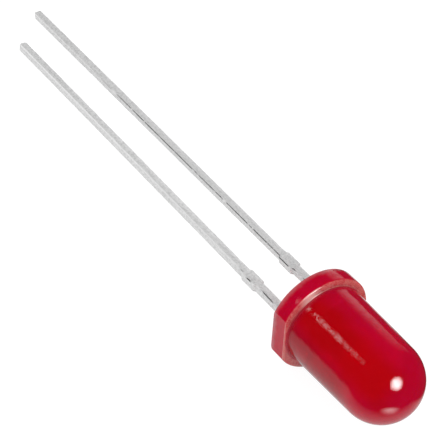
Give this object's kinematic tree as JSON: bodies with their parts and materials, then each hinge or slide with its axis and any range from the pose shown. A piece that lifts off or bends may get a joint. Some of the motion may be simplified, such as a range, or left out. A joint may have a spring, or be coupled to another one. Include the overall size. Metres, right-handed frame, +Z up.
{
  "type": "through-hole indicator light-emitting diode",
  "caption": "Round red light-emitting diode for a circuit board: a domed moulded lens with a flange and a polarity flat, cast round a lead frame with long straight leads.",
  "frame": {"origin": "centre of the flange's underside, where the lens axis crosses the seating plane; the surface that the lamp lies on is 2.93 mm below it", "axes": "+Z up, as the lamp lies on its side on the flange's rim and both lead tips. The dome points to -Y and rises by 4.9 degrees, the leads run back to +Y, the anode lies on +X and the cathode and its flat on -X"},
  "size_m": [0.0056, 0.041, 0.0059],
  "materials": {
    "red_resin": "glossy, diffused red epoxy resin, slightly see-through",
    "tinned_lead": "satin, dull bright tin with fine drawn lines along the lead",
    "chip": "smooth semiconductor with a metal pad",
    "silver_paste": "matt, silver-filled epoxy",
    "gold_wire": "bright gold"
  },
  "bodies": {
    "root": {"lens": "red_resin", "cathode_lead": "tinned_lead", "anode_lead": "tinned_lead", "chip": "chip", "die_attach": "silver_paste", "bond_wire": "gold_wire"}
  },
  "joints": []
}
